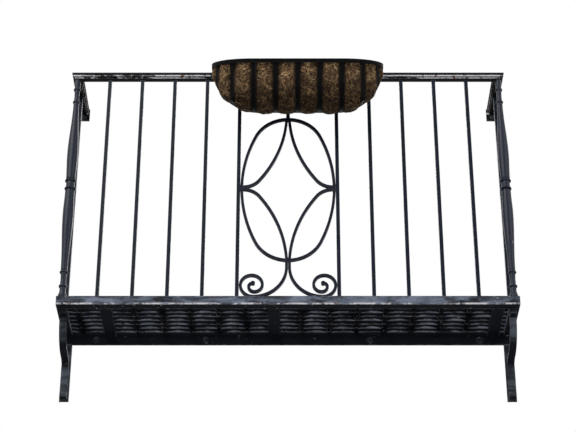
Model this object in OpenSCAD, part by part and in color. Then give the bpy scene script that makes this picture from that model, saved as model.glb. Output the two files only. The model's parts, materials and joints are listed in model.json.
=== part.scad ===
// Juliet balcony: a shallow iron guard with a slatted floor, held on a wall.
// X runs along the wall, the wall face is Y = 0 and the balcony stands out towards -Y.
// The origin is the centre of the wall ledger's back face.

/* [Guard] */
// Height from the floor to the top of the handrail
guard_h = 914; // [800:1:1070]
// Distance from the wall to the outer face of the floor frame
projection = 240; // [200:1:400]
// Centre distance of the plain balusters
baluster_pitch = 117; // [95:1:130]
// Centre distance of the two balusters beside the ornament
ornament_bay = 344; // [320:1:380]
// Side of the square baluster bars
baluster_w = 12.7; // [10:0.1:16]

/* [Handrail] */
// Width of the moulded handrail cap
rail_w = 40; // [34:1:50]
// Height of the rounded upper part of the cap
rail_nose_h = 10; // [8:1:14]
// Height of the narrower step under the nose
rail_step_h = 6; // [4:1:10]
// How far the step is set in on each side
rail_step_in = 4; // [2:0.5:6]
// Width of the flat bar under the cap
under_bar_w = 22; // [16:1:26]
// Thickness of the flat bar under the cap
under_bar_h = 6; // [4:1:10]
// Width of the plate that holds the rail to the wall
flange_w = 44; // [40:1:56]
// Height of that plate
flange_h = 50; // [42:1:60]
// Thickness of that plate
flange_t = 6; // [4:1:10]
// Radius of its bolt hole
flange_hole_r = 5; // [3:0.5:6]

/* [Corner posts] */
// Radius of the post at its two necks
neck_r = 9.5; // [8:0.5:11]
// Largest radius of the swelling shafts
belly_r = 19.5; // [17:0.5:21]
// Radius of the foot of the post
post_foot_r = 14.5; // [13:0.5:16]
// Height of the first ring from either end of the post
ring_low = 44; // [36:1:52]
// Height of the second ring from either end of the post
ring_high = 98; // [84:1:110]
// Distance from the middle of the post to each middle ring
ring_mid = 16; // [12:1:22]
// Height of a ring
ring_tall = 9; // [6:1:12]

/* [Ornament] */
// Side of the square bars of the ornament
scroll_bar = 10; // [8:0.5:12]
// Height of the oval ring
ring_h = 585; // [540:1:610]
// Height of the ring's lowest point above the floor
ring_lift = 140; // [130:1:155]
// Radius of the oval's two ends, on the bar's centre line
ring_end_r = 124; // [105:1:135]
// Radius of the tight bend at the side points of the star
star_bend_r = 70; // [50:1:85]
// Angle at which the long curve of the star meets the tight bend
star_join_angle = 38; // [32:1:44]
// Radius of the large curve of each bottom scroll
scroll_stem_r = 112; // [104:1:116]
// Width of the bar between the ring and the handrail
stem_w = 13; // [10:0.5:16]

/* [Floor] */
// Height of the floor frame bars
frame_h = 32; // [26:1:40]
// Width of the floor frame bars
frame_w = 32; // [26:1:40]
// How far the frame reaches past the centre of the corner posts
frame_past_post = 18; // [16:1:24]
// Number of slats
slat_count = 7; // [5:1:9]
// Thickness of a slat
slat_t = 5; // [4:0.5:8]
// Height of a slat
slat_h = 16; // [14:1:22]
// Thickness of the flat bearers under the slats
bearer_t = 8; // [6:1:12]
// Width of a bearer
bearer_w = 40; // [30:1:50]
// Diameter of the spacer bars that cross the slats
tie_d = 14; // [10:1:14]
// Centre distance of the spacer bars
tie_pitch = 94; // [80:1:100]
// Number of spacer bars
tie_count = 16; // [12:2:16]

/* [Wall fixing] */
// Height of the flat ledger bar on the wall
ledger_h = 64; // [56:1:80]
// Thickness of the ledger
ledger_t = 8; // [6:1:12]
// Radius of the anchor holes
anchor_r = 5.5; // [4:0.5:7]
// Distance of the two inner anchors
anchor_inner = 564; // [400:1:700]
// Distance of the two outer anchors
anchor_outer = 1316; // [1100:1:1400]

/* [Brackets] */
// How far the brackets reach below the floor frame
bracket_drop = 246; // [230:1:300]
// Width of the flat bar on the wall
wall_bar_w = 32; // [26:1:36]
// Width of the curved brace
brace_w = 24; // [20:1:28]
// Thickness of the curved brace
brace_t = 8; // [6:0.5:10]
// Distance from the wall to the front of the brace
brace_reach = 164; // [150:1:175]
// Length of the brace's end that lies flat under the floor frame
brace_lap = 24; // [16:1:30]
// Radius of the bend below that end
brace_top_r = 10; // [8:1:14]
// Radius of the front curve of the brace
brace_front_r = 90; // [80:1:100]
// Radius of the curl at the foot of the brace
brace_foot_r = 11; // [9:0.5:14]
// Height of the upper bracket hole below the floor frame
bracket_hole_drop = 50; // [46:1:60]
// Distance between the two holes of a bracket
bracket_hole_gap = 60; // [50:1:64]

/* [Planter basket] */
// Width of the basket
basket_w = 610; // [560:1:640]
// Depth of the basket from its back frame to its rim
basket_d = 155; // [150:1:190]
// Height of the basket
basket_h = 175; // [160:1:200]
// Angle at which the basket hangs forward
basket_tilt = 27; // [20:1:32]
// Distance of the basket's centre from the middle of the rail
basket_offset = 34; // [-120:1:120]
// Distance of the basket's back edge below the top of the rail
basket_below_rail = 20; // [16:1:40]
// Width of the basket's flat bars
basket_bar_w = 14; // [10:1:18]
// Thickness of the basket's flat bars
basket_bar_t = 4; // [3:0.5:5]
// Distance between ribs along the rim
rib_gap = 77; // [70:1:80]
// Ribs on each side of the middle one
ribs_each_side = 4; // [3:1:4]
// Radius of the rim's front corners
rim_corner_r = 150; // [120:1:150]
// Radius of the lower corners seen from the front
side_corner_r = 165; // [130:1:170]
// Radius of the bend from the front to the bottom
belly_corner_r = 100; // [70:1:110]
// Thickness of the coir liner
liner_t = 12; // [8:1:16]
// Distance from the basket's centre to each hook
hook_x = 215; // [160:1:240]
// Width of a hook strap
hook_w = 20; // [16:1:26]
// Thickness of a hook strap
hook_t = 3; // [2:0.5:4]
// Slope of the strap between the basket and the rail
hook_slope = 24; // [14:1:26]
// Length of the strap that hangs down behind the rail
hook_lip = 20; // [12:1:26]

/* [Hidden] */
$fn = 64;
// Clearance where curved faces meet their neighbours
fit = 0.3;
// How far a cutting shape runs past the face it cuts
cut_past = 5;
// Balusters between the ornament and a corner post
balusters_each_side = 5;
// Angle between two points of a curve that is drawn as a polygon, wide ones and small ones
wide_arc_step = 2.5;
small_arc_step = 10;
wide_arc_r = 40;

floor_z = ledger_h / 2;
frame_z = floor_z - frame_h;
rail_top_z = floor_z + guard_h;
cap_h = rail_nose_h + rail_step_h;
cap_z = rail_top_z - cap_h;
under_bar_z = cap_z - under_bar_h;
infill_h = under_bar_z - floor_z;

post_y = projection - frame_w / 2;
post_x = ornament_bay / 2 + balusters_each_side * baluster_pitch;
frame_half_l = post_x + frame_past_post;
side_bar_x = frame_half_l - frame_w / 2;
frame_back_y = projection - frame_w;
mitre_reach = 60;
mitre_h = cap_h + under_bar_h + 2 * cut_past;

ring_z = floor_z + ring_lift;
ring_out_w = ornament_bay / 2 - baluster_w / 2 - fit;
ring_a = ring_out_w - scroll_bar / 2;
ring_b = ring_h / 2 - scroll_bar / 2;
ring_side_r = (ring_a * ring_a + ring_b * ring_b - 2 * ring_b * ring_end_r)
    / (2 * (ring_a - ring_end_r));
ring_end_angle = atan((ring_side_r - ring_a) / (ring_b - ring_end_r));
ring_mid_z = ring_z + ring_h / 2;

star_start_x = (scroll_bar + fit) / 2;
star_dx = ring_a - scroll_bar / 2 - fit - star_start_x;
star_dz = ring_b - scroll_bar / 2 - fit - star_start_x;
star_long_dx = star_dx - star_bend_r * cos(star_join_angle);
star_long_dz = star_dz - star_bend_r * (1 - sin(star_join_angle));
star_lean = 2 * atan(star_long_dx / star_long_dz) - star_join_angle;
star_long_r = star_long_dx / (cos(star_lean) - cos(star_join_angle));

scroll_low = scroll_bar / 2 + fit;
scroll_straight = ring_lift - fit - scroll_stem_r - scroll_low;
scroll_turn_r = ring_out_w - scroll_bar / 2 - star_start_x - scroll_stem_r;
scroll_radii = [38, 36, 27, 19, 14];
scroll_eye_r = 7.5;

slat_z = frame_z + bearer_t;
slat_half_l = frame_half_l - frame_w;
slat_room = frame_back_y - ledger_t;
slat_gap = slat_room / slat_count;
bearer_ties = [1, 7, 15];

brace_near = ledger_t + brace_t / 2;
brace_top = brace_t / 2 + fit;
brace_back_r = brace_reach - brace_t / 2 - brace_near - brace_front_r;
brace_straight = bracket_drop - brace_t / 2 - brace_foot_r - brace_top - brace_top_r
    - brace_front_r - brace_back_r;

body_a = basket_w / 2 - 2 * basket_bar_t;
body_d = basket_d - 2 * basket_bar_t;
body_h = basket_h - 2 * basket_bar_t;
body_plan_r = rim_corner_r - 2 * basket_bar_t;
body_side_r = side_corner_r - 2 * basket_bar_t;
body_belly_r = belly_corner_r - 2 * basket_bar_t;
basket_y = post_y + baluster_w / 2 + fit + basket_bar_t * cos(basket_tilt)
    + basket_h * sin(basket_tilt);
basket_z = rail_top_z - basket_below_rail;

// Middle line of the hook straps: their bends and how far they lap the back frame
strap_bend_r = 6;
strap_lap = 40;
strap_rear = basket_bar_t + hook_t / 2;
strap_foot_y = basket_y - strap_rear * cos(basket_tilt) - strap_lap * sin(basket_tilt);
strap_foot_z = basket_z + strap_rear * sin(basket_tilt) - strap_lap * cos(basket_tilt);
strap_top_z = rail_top_z + fit + hook_t / 2;
strap_front_y = post_y + rail_w / 2;
strap_back_y = post_y - rail_w / 2 - fit - hook_t / 2;
strap_run = ((strap_front_y - strap_foot_y + strap_bend_r * cos(basket_tilt))
    * sin(hook_slope)
    + (strap_top_z - strap_bend_r - strap_foot_z - strap_bend_r * sin(basket_tilt))
    * cos(hook_slope)) / cos(basket_tilt - hook_slope);

IRON = "#23262e";
COIR = "#7a5c3e";

function baluster_x(i) = ornament_bay / 2 + i * baluster_pitch;

// Draws a bar along straight runs [length, 0] and bends [radius, angle].
// The path starts at the origin heading along +X, and a positive angle turns to the left.
module bar_path(runs, w, t, i = 0) {
    if (i < len(runs)) {
        size = runs[i][0];
        turn = runs[i][1];
        if (turn == 0) {
            translate([0, -w / 2, -t / 2]) cube([size, w, t]);
            translate([size, 0, 0]) bar_path(runs, w, t, i + 1);
        } else {
            side = turn > 0 ? 1 : -1;
            mirror([0, side > 0 ? 0 : 1, 0]) translate([0, size, 0]) {
                rotate([0, 0, -90]) rotate_extrude(angle = abs(turn))
                    translate([size - w / 2, -t / 2]) square([w, t]);
            }
            translate([0, side * size, 0]) rotate([0, 0, turn])
                translate([0, -side * size, 0]) bar_path(runs, w, t, i + 1);
        }
    }
}

// Stands a shape drawn in the XY plane up in the plane of the front rail.
module in_front_plane(x = 0, z = 0) {
    translate([x, -post_y, z]) rotate([90, 0, 0]) children();
}

// Points along an arc
function arc(x, y, r, from, to) =
    let (steps = ceil((to - from) / (r > wide_arc_r ? wide_arc_step : small_arc_step)))
    [for (i = [0 : steps])
        let (a = from + (to - from) * i / steps)
        [x + r * cos(a), y + r * sin(a)]];

module on_side(side) {
    mirror([side > 0 ? 0 : 1, 0, 0]) children();
}

// Handrail
module rail_profile() {
    nose_r = rail_nose_h / 2;
    translate([-(rail_w / 2 - nose_r), rail_step_h]) square([rail_w - 2 * nose_r, rail_nose_h]);
    for (side = [-1, 1])
        translate([side * (rail_w / 2 - nose_r), rail_step_h + nose_r]) circle(r = nose_r);
    translate([-(rail_w / 2 - rail_step_in), 0])
        square([rail_w - 2 * rail_step_in, rail_step_h + nose_r]);
}

module under_bar_profile() {
    translate([-under_bar_w / 2, -under_bar_h]) square([under_bar_w, under_bar_h]);
}

module front_mitre() {
    out_x = post_x + mitre_reach;
    in_x = post_x - mitre_reach;
    out_y = post_y + mitre_reach;
    in_y = post_y - mitre_reach;
    translate([0, 0, under_bar_z - cut_past]) linear_extrude(height = mitre_h)
        polygon([[-out_x, -out_y], [out_x, -out_y], [in_x, -in_y], [-in_x, -in_y]]);
}

module side_mitre() {
    out_x = post_x + mitre_reach;
    in_x = post_x - mitre_reach;
    out_y = post_y + mitre_reach;
    in_y = post_y - mitre_reach;
    translate([0, 0, under_bar_z - cut_past]) linear_extrude(height = mitre_h)
        polygon([[out_x, -out_y], [out_x, 0], [in_x, 0], [in_x, -in_y]]);
}

module front_rail() {
    intersection() {
        translate([-post_x - rail_w, -post_y, cap_z]) rotate([90, 0, 90])
            linear_extrude(height = 2 * (post_x + rail_w)) children();
        front_mitre();
    }
}

module side_rail() {
    intersection() {
        translate([post_x, -flange_t, cap_z]) rotate([90, 0, 0])
            linear_extrude(height = post_y + rail_w - flange_t) children();
        side_mitre();
    }
}

module rail_flange() {
    difference() {
        translate([post_x - flange_w / 2, -flange_t, rail_top_z - flange_h])
            cube([flange_w, flange_t, flange_h]);
        translate([post_x, cut_past, flange_hole_z()]) rotate([90, 0, 0])
            cylinder(r = flange_hole_r, h = flange_t + 2 * cut_past);
    }
}

function flange_hole_z() = (rail_top_z - flange_h + under_bar_z) / 2;

// Corner posts
function bead(z, low, high, tall) =
    [for (a = [-90 : 30 : 90]) [low + (high - low) * cos(a), z + tall / 2 * sin(a)]];

function swell(z0, z1, r0, r1, top, peak, steps) =
    [for (i = [0 : steps])
        let (t = i / steps,
             rise = t < peak ? t / peak : (1 - t) / (1 - peak),
             base = t < peak ? r0 : r1)
        [base + (top - base) * pow(sin(90 * rise), 2), z0 + (z1 - z0) * t]];

// The turned post, with the same rings above and below its middle
module post() {
    mid = infill_h / 2;
    profile = concat(
        [[0, 0], [post_foot_r, 0], [post_foot_r, 10], [neck_r + 1, 24]],
        bead(ring_low, neck_r + 1, post_foot_r, ring_tall),
        [[neck_r, (ring_low + ring_high) / 2]],
        bead(ring_high, neck_r + 1, post_foot_r, ring_tall),
        swell(ring_high + ring_tall, mid - ring_mid - ring_tall,
            neck_r + 2, belly_r - 3, belly_r - 0.5, 0.7, 16),
        bead(mid - ring_mid, belly_r - 5, belly_r, ring_tall),
        [[belly_r - 4.5, mid]],
        bead(mid + ring_mid, belly_r - 5, belly_r, ring_tall),
        swell(mid + ring_mid + ring_tall, infill_h - ring_high - ring_tall,
            belly_r - 3, neck_r + 0.5, belly_r - 0.5, 0.3, 16),
        bead(infill_h - ring_high, neck_r, neck_r + 3.5, ring_tall),
        [[neck_r - 1, infill_h - (ring_low + ring_high) / 2]],
        bead(infill_h - ring_low, neck_r, neck_r + 3.5, ring_tall),
        [[neck_r + 1, infill_h - 24], [neck_r, infill_h], [0, infill_h]]
    );
    translate([post_x, -post_y, floor_z]) rotate_extrude() polygon(profile);
}

// Balusters
module baluster(x, y) {
    translate([x - baluster_w / 2, -y - baluster_w / 2, floor_z])
        cube([baluster_w, baluster_w, infill_h]);
}

module side_baluster() {
    baluster(post_x, post_y / 2);
}

// Ornament
module centre_stem() {
    stem_z = ring_z + ring_h + fit;
    translate([-stem_w / 2, -post_y - scroll_bar / 2, stem_z])
        cube([stem_w, scroll_bar, under_bar_z - stem_z]);
}

// The oval at a distance from the bar's centre line, as four arcs
module oval(grow) {
    side_turn = 90 - ring_end_angle;
    polygon(concat(
        arc(ring_a - ring_side_r, 0, ring_side_r + grow, -side_turn, side_turn),
        arc(0, ring_b - ring_end_r, ring_end_r + grow, side_turn, 180 - side_turn),
        arc(ring_side_r - ring_a, 0, ring_side_r + grow, 180 - side_turn, 180 + side_turn),
        arc(0, ring_end_r - ring_b, ring_end_r + grow, 180 + side_turn, 360 - side_turn)));
}

module ornament_ring() {
    in_front_plane(z = ring_mid_z) linear_extrude(height = scroll_bar, center = true)
        difference() {
            oval(scroll_bar / 2);
            oval(-scroll_bar / 2);
        }
}

// One edge of a star arc, a distance inside or outside of the bar's centre line
function star_edge(grow) = concat(
    arc(star_start_x + star_long_r * cos(star_lean),
        star_end_z() + star_bend_r + (star_long_r - star_bend_r) * sin(star_join_angle),
        star_long_r + grow, 180 + star_lean, 180 + star_join_angle),
    arc(star_end_x(), star_end_z() + star_bend_r, star_bend_r + grow,
        180 + star_join_angle, 270));

function star_end_x() = star_start_x + star_dx;
function star_end_z() = ring_mid_z + star_start_x;

function backwards(points) = [for (i = [len(points) - 1 : -1 : 0]) points[i]];

// One quarter of the star, from the top of the ring down to its right side
module star_arc() {
    in_front_plane() linear_extrude(height = scroll_bar, center = true)
        polygon(concat(star_edge(scroll_bar / 2), backwards(star_edge(-scroll_bar / 2))));
}

module below_ring_middle() {
    translate([0, 0, 2 * ring_mid_z]) mirror([0, 0, 1]) children();
}

module bottom_scroll() {
    in_front_plane(x = star_start_x, z = ring_z - fit) rotate([0, 0, -90]) {
        bar_path(concat([[scroll_straight, 0], [scroll_stem_r, 90], [scroll_turn_r, 90]],
            [for (r = scroll_radii) [r, 90]]), scroll_bar, scroll_bar);
    }
    translate([scroll_eye_x(), -post_y, scroll_eye_z()]) rotate([90, 0, 0])
        cylinder(r = scroll_eye_r, h = scroll_bar, center = true);
}

// The bends turn east, north, west, south, east, north and west
function scroll_eye_x() = star_start_x + scroll_stem_r + scroll_turn_r - scroll_radii[0]
    - scroll_radii[1] + scroll_radii[2] + scroll_radii[3] - scroll_radii[4];
function scroll_eye_z() = floor_z + scroll_low + scroll_turn_r + scroll_radii[0]
    - scroll_radii[1] - scroll_radii[2] + scroll_radii[3] + scroll_radii[4];

// Floor
module floor_front_bar() {
    translate([-frame_half_l, -projection, frame_z]) cube([2 * frame_half_l, frame_w, frame_h]);
}

module floor_side_bar() {
    translate([frame_half_l - frame_w, -frame_back_y, frame_z])
        cube([frame_w, frame_back_y - ledger_t, frame_h]);
}

module floor_grating() {
    for (i = [0 : slat_count - 1])
        translate([-slat_half_l, -ledger_t - (i + 0.5) * slat_gap - slat_t / 2, slat_z])
            cube([2 * slat_half_l, slat_t, slat_h]);
    for (i = [0 : tie_count - 1])
        translate([tie_x(i), -ledger_t - fit, slat_z + slat_h / 2]) rotate([90, 0, 0])
            cylinder(d = tie_d, h = slat_room - 2 * fit);
}

function tie_x(i) = (i - (tie_count - 1) / 2) * tie_pitch;

module floor_bearers() {
    for (i = bearer_ties)
        translate([tie_x(i) - bearer_w / 2, -frame_back_y, frame_z])
            cube([bearer_w, slat_room, bearer_t]);
}

// Wall fixing
module anchor_hole(x, z, depth) {
    translate([x, cut_past, z]) rotate([90, 0, 0])
        cylinder(r = anchor_r, h = depth + 2 * cut_past);
}

module wall_ledger() {
    difference() {
        translate([-frame_half_l, -ledger_t, -ledger_h / 2])
            cube([2 * frame_half_l, ledger_t, ledger_h]);
        for (x = [-anchor_outer / 2, -anchor_inner / 2, anchor_inner / 2, anchor_outer / 2])
            anchor_hole(x, -ledger_h / 4, ledger_t);
    }
}

module bracket_wall_bar() {
    top = -ledger_h / 2;
    difference() {
        translate([post_x - wall_bar_w / 2, -ledger_t, frame_z - bracket_drop])
            cube([wall_bar_w, ledger_t, top - frame_z + bracket_drop]);
        for (drop = [bracket_hole_drop, bracket_hole_drop + bracket_hole_gap])
            anchor_hole(post_x, frame_z - drop, ledger_t);
    }
}

// The ogee brace, from its flat end under the floor frame to the curl at its foot
module bracket_brace() {
    start_y = brace_reach - brace_t / 2 + brace_top_r + brace_lap;
    translate([post_x, -start_y, frame_z - brace_top]) rotate([90, 0, -90])
        rotate([0, 0, 180])
            bar_path([[brace_lap, 0], [brace_top_r, 90], [brace_front_r, -90],
                [brace_back_r, 90], [brace_straight, 0], [brace_foot_r, 200]],
                brace_t, brace_w);
}

// Planter basket, drawn with X along the rail, Y outwards and Z up, rim at Z = 0
module rounded_front(half, deep, r) {
    intersection() {
        union() {
            translate([-(half - r), -r]) square([2 * (half - r), deep + r]);
            translate([-half, -r]) square([2 * half, deep]);
            for (side = [-1, 1]) translate([side * (half - r), deep - r]) circle(r = r);
        }
        translate([-half - cut_past, 0]) square([2 * (half + cut_past), deep + cut_past]);
    }
}

module basket_plan(grow) {
    rounded_front(body_a + grow, body_d + grow, body_plan_r + grow);
}

module basket_side(grow) {
    mirror([0, 1]) rounded_front(body_a + grow, body_h + grow, body_side_r + grow);
}

module basket_section(grow) {
    r = body_belly_r + grow;
    deep = body_d + grow;
    low = body_h + grow;
    square([deep - r, 1]);
    translate([0, -low]) square([deep - r, low]);
    translate([0, r - low]) square([deep, low - r]);
    translate([deep - r, r - low]) circle(r = r);
}

module basket_body(grow) {
    intersection() {
        translate([0, 0, -basket_h - cut_past]) linear_extrude(height = basket_h + cut_past)
            basket_plan(grow);
        translate([0, basket_d + cut_past, 0]) rotate([90, 0, 0])
            linear_extrude(height = basket_d + cut_past) basket_side(grow);
        translate([-basket_w, 0, 0]) rotate([90, 0, 90])
            linear_extrude(height = 2 * basket_w) basket_section(grow);
    }
}

module hang_basket() {
    translate([basket_offset, -basket_y, basket_z]) rotate([basket_tilt, 0, 0])
        mirror([0, 1, 0]) children();
}

module basket_rim() {
    translate([0, 0, -basket_bar_w]) linear_extrude(height = basket_bar_w) difference() {
        basket_plan(2 * basket_bar_t);
        basket_plan(basket_bar_t);
    }
}

function rib_angle(s) = max(0, s - (body_a - body_plan_r)) / rim_corner_r * 180 / PI;
function rib_x(s) = min(s, body_a - body_plan_r) + rim_corner_r * sin(rib_angle(s));

module basket_ribs() {
    for (i = [-ribs_each_side : ribs_each_side]) {
        s = abs(i) * rib_gap;
        w = basket_bar_w * cos(rib_angle(s));
        x = (i < 0 ? -1 : 1) * rib_x(s);
        intersection() {
            difference() {
                basket_body(basket_bar_t);
                basket_body(fit);
            }
            translate([x - w / 2, 0, -basket_h - cut_past])
                cube([w, basket_d + cut_past, basket_h + 2 * cut_past]);
        }
    }
}

// Outline of the back frame, as wide as the rim and as low as the ribs
module back_outline(inset) {
    grow = 2 * basket_bar_t - inset;
    mirror([0, 1])
        rounded_front(body_a + grow, body_h + basket_bar_t - inset, body_side_r + grow);
}

module basket_back_frame() {
    rotate([90, 0, 0]) linear_extrude(height = basket_bar_t) {
        difference() {
            back_outline(0);
            back_outline(basket_bar_w);
        }
        intersection() {
            back_outline(0);
            union() {
                translate([-basket_w, -basket_bar_w]) square([2 * basket_w, basket_bar_w]);
                for (i = [-2, 0, 2])
                    translate([i * rib_gap - basket_bar_w / 2, -basket_h])
                        square([basket_bar_w, basket_h]);
            }
        }
    }
}

module coir_liner() {
    difference() {
        basket_body(0);
        intersection() {
            basket_body(-liner_t);
            translate([-basket_w, liner_t, -basket_h]) cube([2 * basket_w, basket_d, basket_h]);
        }
    }
}

// One edge of the strap seen from the side, x away from the wall and y upwards.
// It lies on the back frame, slopes up to the rail, crosses it and turns down behind it.
function strap_edge(grow) = concat(
    [[strap_foot_y + grow * cos(basket_tilt), strap_foot_z - grow * sin(basket_tilt)]],
    arc(strap_foot_y + strap_run * sin(basket_tilt) - strap_bend_r * cos(basket_tilt),
        strap_foot_z + strap_run * cos(basket_tilt) + strap_bend_r * sin(basket_tilt),
        strap_bend_r + grow, -basket_tilt, 90 - hook_slope),
    arc(strap_front_y, strap_top_z - strap_bend_r, strap_bend_r + grow, 90 - hook_slope, 90),
    arc(strap_back_y + strap_bend_r, strap_top_z - strap_bend_r, strap_bend_r + grow,
        90, 180),
    [[strap_back_y - grow, strap_top_z - strap_bend_r - hook_lip]]);

module basket_hook() {
    rotate([90, 0, -90]) linear_extrude(height = hook_w, center = true)
        polygon(concat(strap_edge(hook_t / 2), backwards(strap_edge(-hook_t / 2))));
}

module basket_hooks() {
    for (side = [-1, 1]) translate([basket_offset + side * hook_x, 0, 0]) basket_hook();
}

color(IRON) front_rail() rail_profile();  // handrail_front
color(IRON) on_side(-1) side_rail() rail_profile();  // handrail_left
color(IRON) on_side(1) side_rail() rail_profile();  // handrail_right
color(IRON) front_rail() under_bar_profile();  // under_bar_front
color(IRON) on_side(-1) side_rail() under_bar_profile();  // under_bar_left
color(IRON) on_side(1) side_rail() under_bar_profile();  // under_bar_right
color(IRON) on_side(-1) rail_flange();  // rail_flange_left
color(IRON) on_side(1) rail_flange();  // rail_flange_right
color(IRON) on_side(-1) post();  // post_left
color(IRON) on_side(1) post();  // post_right
for (i = [0 : balusters_each_side - 1]) {
    color(IRON) baluster(-baluster_x(i), post_y);
    color(IRON) baluster(baluster_x(i), post_y);
}
color(IRON) on_side(-1) side_baluster();  // side_baluster_left
color(IRON) on_side(1) side_baluster();  // side_baluster_right
color(IRON) centre_stem();
color(IRON) ornament_ring();
color(IRON) on_side(-1) star_arc();  // star_arc_upper_left
color(IRON) on_side(1) star_arc();  // star_arc_upper_right
color(IRON) on_side(-1) below_ring_middle() star_arc();  // star_arc_lower_left
color(IRON) on_side(1) below_ring_middle() star_arc();  // star_arc_lower_right
color(IRON) on_side(-1) bottom_scroll();  // scroll_left
color(IRON) on_side(1) bottom_scroll();  // scroll_right
color(IRON) floor_front_bar();
color(IRON) on_side(-1) floor_side_bar();  // floor_side_bar_left
color(IRON) on_side(1) floor_side_bar();  // floor_side_bar_right
color(IRON) wall_ledger();
color(IRON) floor_grating();
color(IRON) floor_bearers();
color(IRON) on_side(-1) bracket_wall_bar();  // bracket_wall_bar_left
color(IRON) on_side(1) bracket_wall_bar();  // bracket_wall_bar_right
color(IRON) on_side(-1) bracket_brace();  // bracket_brace_left
color(IRON) on_side(1) bracket_brace();  // bracket_brace_right
color(IRON) hang_basket() basket_rim();
color(IRON) hang_basket() basket_ribs();
color(IRON) hang_basket() basket_back_frame();
color(IRON) basket_hooks();
color(COIR) hang_basket() coir_liner();
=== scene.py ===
"""Dresses the juliet balcony: worn paint, welds, wall bolts and a coir lined planter basket."""

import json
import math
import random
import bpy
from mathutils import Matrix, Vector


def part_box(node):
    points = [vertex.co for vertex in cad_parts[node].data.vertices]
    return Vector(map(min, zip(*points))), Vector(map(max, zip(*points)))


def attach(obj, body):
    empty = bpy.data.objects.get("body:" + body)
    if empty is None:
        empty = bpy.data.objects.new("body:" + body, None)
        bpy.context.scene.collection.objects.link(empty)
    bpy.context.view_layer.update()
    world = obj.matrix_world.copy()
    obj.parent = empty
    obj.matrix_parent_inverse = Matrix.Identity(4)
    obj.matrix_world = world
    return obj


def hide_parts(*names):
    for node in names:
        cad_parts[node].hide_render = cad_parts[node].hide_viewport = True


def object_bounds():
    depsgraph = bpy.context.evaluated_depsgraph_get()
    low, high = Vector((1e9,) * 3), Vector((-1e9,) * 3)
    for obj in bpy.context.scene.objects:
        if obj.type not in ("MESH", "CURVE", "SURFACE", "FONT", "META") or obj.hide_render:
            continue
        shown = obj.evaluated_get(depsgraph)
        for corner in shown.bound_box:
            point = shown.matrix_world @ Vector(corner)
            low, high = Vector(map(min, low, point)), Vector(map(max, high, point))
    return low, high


bl_info = {
    "name": "Juliet Balcony",
    "version": (1, 0, 0),
    "blender": (4, 5, 0),
    "location": "3D View > Sidebar > Balcony",
    "description": "Finishes a wrought iron juliet balcony and its lined planter basket",
    "category": "Object",
}

import bmesh
import bpy
import numpy as np
from bpy.props import FloatProperty, FloatVectorProperty, IntProperty, PointerProperty
from mathutils import Matrix, Vector, noise
from mathutils.bvhtree import BVHTree

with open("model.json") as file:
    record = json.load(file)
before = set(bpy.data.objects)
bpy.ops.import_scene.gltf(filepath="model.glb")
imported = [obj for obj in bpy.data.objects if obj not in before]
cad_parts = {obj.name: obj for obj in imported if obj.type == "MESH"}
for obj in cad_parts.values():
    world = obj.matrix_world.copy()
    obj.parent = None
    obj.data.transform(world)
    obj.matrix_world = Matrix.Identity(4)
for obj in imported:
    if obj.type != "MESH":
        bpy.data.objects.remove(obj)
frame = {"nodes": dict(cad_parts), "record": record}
CAD_BOX = [list(corner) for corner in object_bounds()]

# Sizes and places repeated from the balcony's source, in metres
FIT = 0.0003
FLOOR_TOP = 0.032
FRAME_HALF = 0.775
FRAME_FRONT = -0.240
SLAT_LOW = 0.008
SLAT_TALL = 0.016
TIE_PITCH = 0.094
UNDER_BAR_Z = 0.924
CAP_Z = 0.930
NOSE_Z = 0.936
RAIL_TOP = 0.946
RAIL_Y = -0.224
POST_X = 0.757
POST_NECK = 0.0095
POST_FOOT = 0.0145
BALUSTER_HALF = 0.00635
SCROLL_BAR = 0.010
LEDGER_DEEP = 0.008
BRACE_HALF = 0.012
BASKET_X = 0.034
BASKET_TILT = math.radians(27)
BASKET_WIDTH = 0.610
BASKET_DEPTH = 0.155
BASKET_HEIGHT = 0.175
BASKET_BELOW_RAIL = 0.020
BASKET_BAR = 0.004
RIM_TALL = 0.014
RIB_X = (0.0, 0.077, 0.154, 0.2278, 0.2828)
BASKET_BACK_Y = -RAIL_Y + BALUSTER_HALF + FIT + BASKET_BAR * math.cos(BASKET_TILT)
BASKET_Y = BASKET_BACK_Y + BASKET_HEIGHT * math.sin(BASKET_TILT)
BASKET_Z = RAIL_TOP - BASKET_BELOW_RAIL
LINER_HALF = BASKET_WIDTH / 2 - 2 * BASKET_BAR
LINER_DEEP = BASKET_DEPTH - 2 * BASKET_BAR
LINER_LOW = BASKET_HEIGHT - 2 * BASKET_BAR
PLAN_ROUND = 0.142
SIDE_ROUND = 0.157
BELLY_ROUND = 0.092

UP = Vector((0, 0, 1))
ALONG = Vector((1, 0, 0))
OUT = Vector((0, -1, 0))
FULL_TURN = 6.28


def shade(red, green, blue):
    """A colour as it is seen, from 0 to 255, in the linear values that Blender works in"""
    parts = []
    for value in (red, green, blue):
        part = value / 255
        parts.append(part / 12.92 if part <= 0.04045 else ((part + 0.055) / 1.055) ** 2.4)
    return tuple(parts)


def colour(name, description, default):
    return FloatVectorProperty(
        name=name, description=description, subtype="COLOR", size=3, min=0, max=1, default=default
    )


def share(name, description, default):
    return FloatProperty(
        name=name, description=description, subtype="FACTOR", min=0, max=1, default=default
    )


def length(name, description, default, low, high):
    return FloatProperty(
        name=name,
        description=description,
        subtype="DISTANCE",
        unit="LENGTH",
        min=low,
        max=high,
        default=default,
    )


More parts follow.
